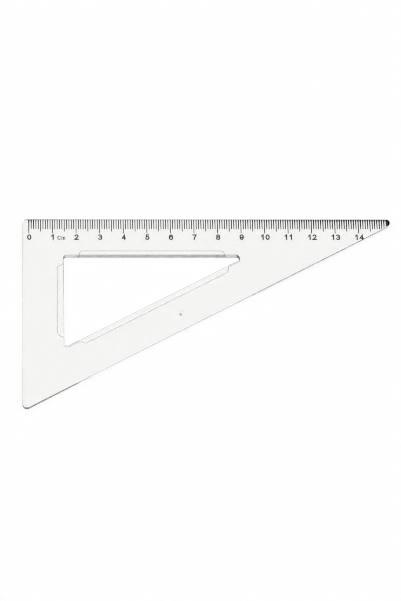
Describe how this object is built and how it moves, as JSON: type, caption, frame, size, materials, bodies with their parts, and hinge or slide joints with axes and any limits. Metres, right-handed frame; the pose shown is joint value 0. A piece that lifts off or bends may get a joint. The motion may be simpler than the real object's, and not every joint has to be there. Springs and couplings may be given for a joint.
{
  "type": "drafting triangle",
  "caption": "Clear moulded 30/60 set square with a triangular opening, a finger ledge under the opening and a printed centimetre scale along the long leg.",
  "frame": {"origin": "middle of the plate's box, on the underside that lies on the paper", "axes": "+X along the scale edge from the square corner to the 30 degree tip, +Y out of the scale edge, +Z out of the printed face"},
  "size_m": [0.1568, 0.0922, 0.0018],
  "materials": {
    "clear_polystyrene": "clear polished moulding",
    "stamped_ink": "hot-stamped black film"
  },
  "bodies": {
    "root": {"clear_plate": "clear_polystyrene", "millimetre_marks": "stamped_ink", "half_centimetre_marks": "stamped_ink", "centimetre_marks": "stamped_ink"}
  },
  "joints": []
}
